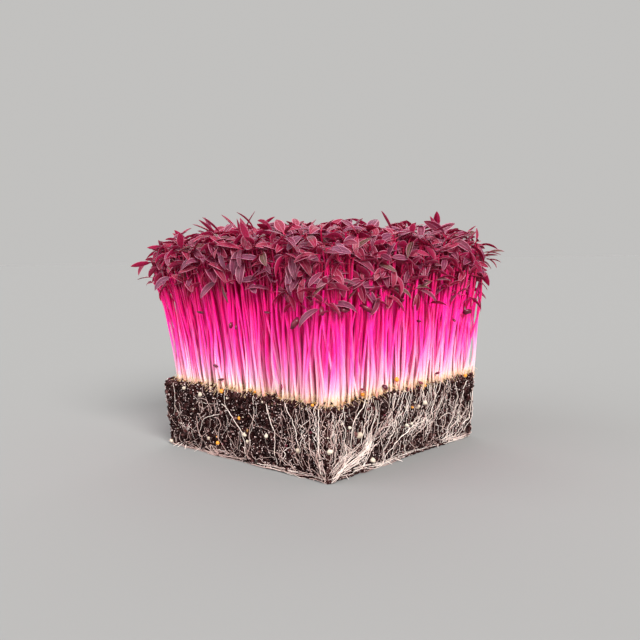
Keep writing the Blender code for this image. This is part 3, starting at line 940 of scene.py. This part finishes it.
standForm = {
    "perSide": 38,
    "skirt": 84,  # short seedlings along each side, under the rest
    "skirtDrop": (1, 26),  # how much shorter they are, in mm
    "reach": 48.6 * mm,  # the outermost feet
    "leftReach": 45.2 * mm,  # they stand further in on the left side
    "jitter": 1.20 * mm,
    "height": 64.2 * mm,
    "dome": (0.030, 52 * mm),  # how much lower the stand is at its edges, and how far out they are
    "ragged": 15 * mm,  # how uneven the heights are
    "drop": (0.66, 16 * mm, 32 * mm),  # share of the drops at the left, from where it grows and how far
    "leftDip": (2.6 * mm, 10 * mm, 30 * mm),  # how much lower the left side stands, from where and how far
    "lower": (0 * mm, 12 * mm),  # how much lower the outermost stand
    "outerFade": 4.5 * mm,  # how soon that fades further in
    "corner": 36 * mm,  # past this both ways, none leans out
    "splay": 0.125,
    "sunk": 2.2 * mm,  # how deep the stems end in the soil
    "tipReach": 52.6 * mm,
    "leafReach": 57.4 * mm,
    "cornerReach": 108 * mm,  # both ways together, because the corners are round
    "cornerDraw": 0.05,  # how far the feet at the left corners are drawn in
    "lean": 2.8 * mm,
    "crossing": (0.42, 2.8),  # share of seedlings that lean across their neighbours, and how much more
    "drift": (-6 * mm, 3.5 * mm),  # as a whole they lean to one side
    "stemRadius": (0.40 * mm, 0.60 * mm),
    "leafLength": (9.8 * mm, 13.8 * mm),
    "leafWidth": 0.134,  # half width as a share of the length
    "leafRise": (0.28, 0.22),  # middle and spread, in radians, and so is the next
    "leafBend": (0.78, 0.30),
    "leafTwist": (0.34, 0.30),  # spread in the middle, and how much more at the edge
    "tilt": (0.24, 0.20),  # spread, and how far the outer leaf pairs tip over
    "attempts": (12, 0.020),  # to keep within reach, each a little shorter
    "trueLeaves": 0.25,
    "waves": ((1, 1.4), (2, 0.75), (3, 0.35)),  # of the stems: how many, and how large in mm
}


def ramp(value, start, distance):
    return min(1, max(0, (value - start) / distance))


def depth(foot):  # the leaves hang lower on the right than on the left
    least, *span = standForm["drop"]
    return least + (1 - least) * ramp(foot[0], *span)


def narrowed(foot):  # the left side is drawn in, and its corners more
    if foot[0] < 0:
        foot[0] *= standForm["leftReach"] / standForm["reach"]
        foot *= 1 - standForm["cornerDraw"] * np.abs(np.prod(foot / standForm["reach"])) ** 3
    return foot


def seedlingPlan():
    form, rand = standForm, random.Random(83)
    reach, tipReach, (crossing, further) = form["reach"], form["tipReach"], form["crossing"]
    (dome, domeReach), (dip, *dipSpan) = form["dome"], form["leftDip"]
    plan = []
    for row in range(form["perSide"]):
        for column in range(form["perSide"]):
            foot = np.array([column, row]) / (form["perSide"] - 1) * 2 - 1
            foot = foot * reach + [rand.uniform(-1, 1) * form["jitter"], rand.uniform(-1, 1) * form["jitter"]]
            foot = narrowed(np.clip(foot, -reach - 0.6 * mm, reach + 0.6 * mm))
            lean = form["lean"] * (further if rand.random() < crossing else 1)
            lean = np.array([rand.gauss(0, 0.5), rand.gauss(0, 0.5)]) * lean
            if np.min(np.abs(foot)) > form["corner"]:
                lean = -np.abs(lean) * np.sign(foot) * 0.7
            drift = (1 - (foot / reach) ** 2) * form["drift"]
            tip = np.clip(foot * (1 + form["splay"]) + lean + drift, -tipReach, tipReach)
            rise = form["height"] * (1 - dome * np.sum((tip / domeReach) ** 4) / 2)
            outer = math.exp((np.max(np.abs(foot)) - reach) / form["outerFade"])
            rise -= dip * ramp(-foot[0], *dipSpan)
            rise -= depth(foot) * (form["ragged"] * rand.random() ** 1.7 + outer * rand.uniform(*form["lower"]))
            plan.append({"foot": foot, "tip": tip, "rise": rise, "tint": rand.random()})
    for number in range(4):
        turn = np.array(Matrix.Rotation(number * math.pi / 2, 2)).T
        for _ in range(form["skirt"]):
            foot = np.array([rand.uniform(-1, 1) * reach, -reach + rand.uniform(-0.4, 3) * mm]) @ turn
            tip = foot * rand.uniform(1.08, 1.15) + [rand.gauss(0, 1.5) * mm, rand.gauss(0, 1.5) * mm]
            tip = np.clip(tip, -tipReach, tipReach)
            rise = form["height"] * 0.93 - depth(foot) * rand.uniform(*form["skirtDrop"]) * mm
            plan.append({"foot": narrowed(foot), "tip": tip, "rise": rise, "tint": rand.random()})
    return plan


def stemPoints(shape, plant, rand):
    t = shape.points[:, 2]
    radius = rand.uniform(*standForm["stemRadius"])
    width = radius * (1.06 - 0.30 * t + 0.15 * np.exp(-t * 25))
    splay = plant["foot"] * standForm["splay"]
    path = plant["foot"] + np.outer(0.40 * t + 0.60 * t ** 2, splay)
    path += np.outer(0.75 * t + 0.25 * t ** 3, plant["tip"] - plant["foot"] - splay)
    for waves, size in standForm["waves"]:
        heading, much = rand.uniform(0, math.tau), rand.gauss(0, size) * mm
        path += np.outer(np.sin(math.pi * waves * t) * much, [math.cos(heading), math.sin(heading)])
    base, top = soilForm["height"] - standForm["sunk"], soilForm["height"] + plant["rise"]
    return np.column_stack([path + shape.points[:, :2] * width[:, None], base + (top - base) * t])


def leafPoints(shape, node, heading, elevation, bend, twist, length, width, fold):
    s, y, z = shape.points.T
    bend = bend if abs(bend) > 0.02 else 0.02
    angle = elevation - bend * s
    outward = length * (math.sin(elevation) - np.sin(angle)) / bend
    upward = length * (np.cos(angle) - math.cos(elevation)) / bend
    lift = z * width + fold * np.abs(y) * width
    side = y * width
    side, lift = side * math.cos(twist) - lift * math.sin(twist), side * math.sin(twist) + lift * math.cos(twist)
    local = np.stack([outward - lift * np.sin(angle), side, upward + lift * np.cos(angle)], axis=1)
    turn = np.array([
        [math.cos(heading), math.sin(heading), 0],
        [-math.sin(heading), math.cos(heading), 0],
        [0, 0, 1],
    ])
    return local @ turn @ node["tilt"] + node["place"]


def addLeaves(batch, plant, rand):
    form = standForm
    top = np.array([*plant["tip"], soilForm["height"] + plant["rise"]])
    outward = (plant["tip"] / form["dome"][1]) ** 3
    edge = min(1, float(np.hypot(*outward)))
    outwards = math.atan2(outward[1], outward[0])
    away = outwards + rand.gauss(0, 0.6)
    (spread, tip), (attempts, shrink), (twist, more) = form["tilt"], form["attempts"], form["leafTwist"]
    tilt = Matrix.Rotation(rand.gauss(0, spread) + tip * edge, 3, Vector((-math.sin(away), math.cos(away), 0)))
    node = {"place": top - [0, 0, 0.3 * mm], "tilt": np.array(tilt).T}
    for attempt in range(attempts):
        heading = rand.uniform(0, math.pi)
        if rand.random() < 0.5 * edge:
            heading = outwards + rand.gauss(0, 0.5)
        elevation = rand.gauss(*form["leafRise"])
        length = rand.uniform(*form["leafLength"]) * (1 - shrink * attempt)
        bend = rand.gauss(*form["leafBend"])
        pair = []
        for turn in (0, math.pi):
            own = length * rand.uniform(0.9, 1.06)
            pair.append(leafPoints(
                batch.shape, node, heading + turn + rand.gauss(0, 0.12), elevation + rand.gauss(0, 0.16),
                bend + rand.gauss(0, 0.2), rand.gauss(0, twist + more * edge), own,
                own * form["leafWidth"] * rand.uniform(0.88, 1.15), rand.uniform(0.05, 0.50)))
        places = np.abs(np.concatenate(pair)[:, :2])
        if places.max() < form["leafReach"] and places.sum(axis=1).max() < form["cornerReach"]:
            break
    for points in pair:
        batch.add(points, tint=np.clip(plant["tint"] + rand.gauss(0, 0.05), 0, 1), **batch.shape.tags)
    if rand.random() < form["trueLeaves"] * (1 - 0.7 * edge):
        for turn in (0.5 * math.pi, 1.5 * math.pi):
            own = length * rand.uniform(0.30, 0.62)
            points = leafPoints(batch.shape, node, heading + turn + rand.gauss(0, 0.2), rand.uniform(0.6, 1.25),
                                rand.uniform(0.1, 0.8), rand.gauss(0, 0.2), own, own * 0.24, 0.3)
            batch.add(points, tint=rand.uniform(0.05, 0.5), **batch.shape.tags)


def makeStand(plan):
    stem, leaf = stemShape(), leafShape()
    finishes = [stemMaterial(), leafMaterial()]
    clumps = sorted(name for name in frame["nodes"] if name.startswith("seedlings_"))
    lows, highs = zip(*(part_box(name) for name in clumps))
    centres = np.array([[(low.x + high.x) / 2, (low.y + high.y) / 2] for low, high in zip(lows, highs)])
    centres /= 1.05  # the clumps splay too, so their feet are nearer to the middle
    perBand = 7
    bands = [clumps[i:i + perBand] for i in range(0, len(clumps), perBand)]
    batches = [(Batch(stem, 0), Batch(leaf, 1)) for _ in bands]
    rand = random.Random(97)
    for plant in plan:
        nearest = int(np.argmin(np.hypot(*(centres - plant["foot"]).T)))
        stems, leaves = batches[nearest // perBand]
        points = stemPoints(stem, plant, rand)
        rise = np.maximum(0, points[:, 2] - soilForm["height"]) / (60 * mm)
        stems.add(points, rise=rise, tint=plant["tint"])
        addLeaves(leaves, plant, rand)
    for number, (band, pair) in enumerate(zip(bands, batches), start=1):
        piece = joined(f"stand_{number}", pair, finishes, 55)
        putOn(piece, "seedlings", *band)
        print("stand", number, len(pair[0].points), "seedlings", len(piece.data.polygons), "faces")


# Loose grains on and in the soil

# Grains and hulls that were drawn from life, on the front and on the right: along the side and up it,
# then half sizes, all in mm and parted by commas
drawnLoose = {
    "prill": (
        "-9 28.5 1.05, 1 18.5 0.85, 11.5 30.5 0.6, 42.5 29 0.6",
        "-31 31 0.8, -10 34 1, 41 29 0.9, 1.5 21 0.7",
    ),
    "pebble": (
        """-34.5 27 0.95, -23.5 25.5 1.05, 33.5 10.5 0.95, 16.5 13.5 0.9, -47 1.5 0.9, 3.5 12 1, 5 9.5 0.7,
        -5.5 26 0.7, 15.5 27 0.6, -20 7 0.8""",
        """-48.5 12.5 1.15, -32 15.5 1.3, -23.5 4 1.15, 10 21.5 1.2, 5.5 20.5 0.95, -2 14 0.8, -38 19.5 0.7,
        1.5 14 0.65, -4.5 28.5 0.6""",
    ),
    "hull": (
        """-17 61 1.5 0.8, 23.5 62.5 1.2 0.75, 37.5 59 2 0.9, 51.5 64 1.4 0.95, 1.5 56.5 1 0.8, 4.5 56 0.9 0.7,
        -11 39 1 0.9, -8.5 33.5 1.2 0.8, 27 34 0.9 0.7""",
        """-44.5 64 1.7 0.9, -32.5 63.5 2.4 0.8, -28 64 1.6 0.7, -11 65.5 1.7 0.7, 1.5 56.5 0.8 0.6,
        27.5 55 1.2 0.6, 37.5 58 1.6 1, 6.5 30.5 0.9 0.7, -31 33 0.9 0.7, -17.5 32 1 0.7, 18.5 33 0.9 0.6""",
    ),
}

looseForm = {
    "prills": (14, (0.45 * mm, 0.95 * mm)),  # how many, and their half sizes
    "pebbles": (20, (0.35 * mm, 1.1 * mm)),
    "gravel": (20, (0.3 * mm, 0.55 * mm)),  # small pebbles
    "hulls": (130, (0.45 * mm, 0.75 * mm)),
    "drawnHull": (1.6, 1.6, 1.3),  # how much larger than drawn
    "hiddenHulls": 22,  # on the stems of the two hidden sides
    "hairs": 6,  # at the foot of each outer stem
    "hairRadius": (0.10 * mm, 0.06 * mm),
}


def makeLoose(soil, rand):
    form = looseForm
    prills, pebbles, hulls = (Batch(lumpShape(*look)) for look in ((3, 2, 0.15), (9, 2, 0.5), (5, 1, 0.2, 0.55)))

    def onSides(face):
        return face.normal.z < 0.5 and face.center.z > 2 * mm

    def hidden(face):
        return onSides(face) and (face.center.x < -45 * mm or face.center.y > 45 * mm)

    def onRim(face):
        return face.normal.z > 0.2 and edgeDistance(face) > 43 * mm

    def scatter(batch, kind, choose, lifted):
        count, sizes = form[kind]
        for place, normal in surfaceSpots(soil, rand, count, choose):
            size = rand.uniform(*sizes)
            stretch = [size, size * rand.uniform(0.75, 1), size * rand.uniform(0.7, 1)]
            settle(batch, rand, place + normal * size * lifted, stretch)

    def setAt(batch, number, along, height, sizes, out):
        place = sideTurn(number) @ Vector((along, -(sideHalf(height) + out), height))
        settle(batch, rand, np.array(place), sizes)

    for batch, kind in ((prills, "prill"), (pebbles, "pebble")):
        for number, text in enumerate(drawnLoose[kind]):
            for along, height, size in tableRows(text):
                size *= mm
                sizes = [size, size * rand.uniform(0.8, 1), size * 0.9]
                setAt(batch, number, along * mm, height * mm, sizes, 0.25 * mm)
    for number, text in enumerate(drawnLoose["hull"]):
        for along, height, length, width in tableRows(text):
            sizes = np.array([length, width, width]) * form["drawnHull"] * mm
            out = 0.4 * mm + 0.05 * (height - 33) * mm  # the stems lean out as they rise
            setAt(hulls, number, along * mm, height * mm, sizes, out)
    scatter(prills, "prills", onRim, 0.6)
    scatter(prills, "prills", hidden, 0.3)
    scatter(pebbles, "gravel", onSides, 0.25)
    scatter(pebbles, "pebbles", hidden, 0.25)
    scatter(hulls, "hulls", onRim, 0.7)
    for _ in range(form["hiddenHulls"]):
        size, number = rand.uniform(0.6, 0.9) * mm, rand.randrange(2, 4)
        along, height = rand.uniform(-46, 46) * mm, rand.uniform(33, 66) * mm
        setAt(hulls, number, along, height, [size * 1.7, size, size], -0.2 * mm)
    putOn(joined("feed_prills", [prills], [grainMaterial("prill")]), "soil")
    putOn(joined("pebbles", [pebbles], [grainMaterial("pebble")]), "soil")
    putOn(joined("seed_hulls", [hulls], [grainMaterial("hull")]), "seedlings")


def makeHairs(plan, rand):
    strands, (thick, thin) = [], looseForm["hairRadius"]
    for plant in plan:
        if np.max(np.abs(plant["foot"])) < 43.5 * mm:
            continue
        for _ in range(looseForm["hairs"]):
            spot = Vector((*plant["foot"], soilForm["height"] + rand.uniform(-0.5, 3.2) * mm))
            heading, climb = rand.uniform(0, math.tau), rand.uniform(-0.3, 0.5)
            spot += Vector((math.cos(heading), math.sin(heading), 0)) * 0.35 * mm
            strand = [(spot, thick)]
            for _ in range(4):
                heading += rand.gauss(0, 0.6)
                climb -= 0.3
                spot = spot + Vector((math.cos(heading), math.sin(heading), climb)) * rand.uniform(0.4, 0.8) * mm
                strand.append((spot, thin))
            strands.append((strand, 0))
    putOn(tubes("foot_hairs", strands, [rootMaterial("foot hair")]), "roots")
    print("loose grains and", len(strands), "foot hairs")


# Camera, light and floor

cameraForm = {
    "place": (225.8 * mm, -242.6 * mm, 82.1 * mm),
    "yaw": 42.91,
    "pitch": 4.73,
    "roll": -0.96,
    "focalPixels": 739,
    "framePixels": 640,
    "sensor": 36.0,
}


def makeCamera():
    yaw, pitch, roll = (math.radians(cameraForm[key]) for key in ("yaw", "pitch", "roll"))
    bpy.ops.object.camera_add()
    camera = added()
    camera.name = "camera"
    turn = Matrix.Rotation(yaw, 4, "Z") @ Matrix.Rotation(math.pi / 2 - pitch, 4, "X")
    camera.matrix_world = Matrix.Translation(cameraForm["place"]) @ turn @ Matrix.Rotation(roll, 4, "Z")
    camera.data.sensor_width = cameraForm["sensor"]
    camera.data.lens = cameraForm["sensor"] * cameraForm["focalPixels"] / cameraForm["framePixels"]
    camera.data.clip_start = 10 * mm
    bpy.context.scene.camera = camera


lightForm = {  # where from, how wide in degrees, strength and colour
    "key": ((0.95, -0.42, 0.66), 30, 5.2, (1.0, 0.975, 0.95)),
    "fill": ((-0.50, -0.85, 0.35), 75, 2.1, (0.98, 0.97, 1.0)),
    "top": ((-0.05, 0.10, 1.00), 70, 0.5, (1.0, 0.98, 1.0)),
    "back": ((-0.60, 0.65, 0.50), 60, 1.2, (1.0, 0.98, 0.97)),
}

floorForm = {"size": 80.0, "shade": (0.270, 0.272, 0.270)}


def makeStage():  # the world has the colour of the lit floor, so the floor has no visible end
    direct = np.zeros(3)
    for name, (place, width, power, colour) in lightForm.items():
        bpy.ops.object.light_add(type="SUN", location=place)
        light = added()
        light.name = name
        light.data.angle, light.data.energy, light.data.color = math.radians(width), power, colour
        way = Vector(place).normalized()
        light.rotation_euler = way.to_track_quat("Z", "Y").to_euler()
        direct += np.array(colour) * power * way.z / math.pi
    shade = np.array(floorForm["shade"])
    world = bpy.data.worlds.new("studio")
    world.use_nodes = True
    world.node_tree.nodes["Background"].inputs["Color"].default_value = (*(shade * direct / (1 - shade)), 1)
    bpy.context.scene.world = world
    bpy.context.scene.view_settings.view_transform = "Standard"
    bpy.ops.mesh.primitive_plane_add(size=floorForm["size"])
    floor = added()
    floor.name = "floor"
    plain = {"Base Color": rgb(*floorForm["shade"]), "Roughness": 1.0, "Specular IOR Level": 0.0}
    floor.data.materials.append(dress(newMaterial("floor")[0], plain, {}))


makeCamera()
makeStage()
soil = makeSoil()
makeCrumbs(soil)
makeRoots(soil)
plan = seedlingPlan()
makeStand(plan)
looseRand = random.Random(109)
makeLoose(soil, looseRand)
makeHairs(plan, looseRand)
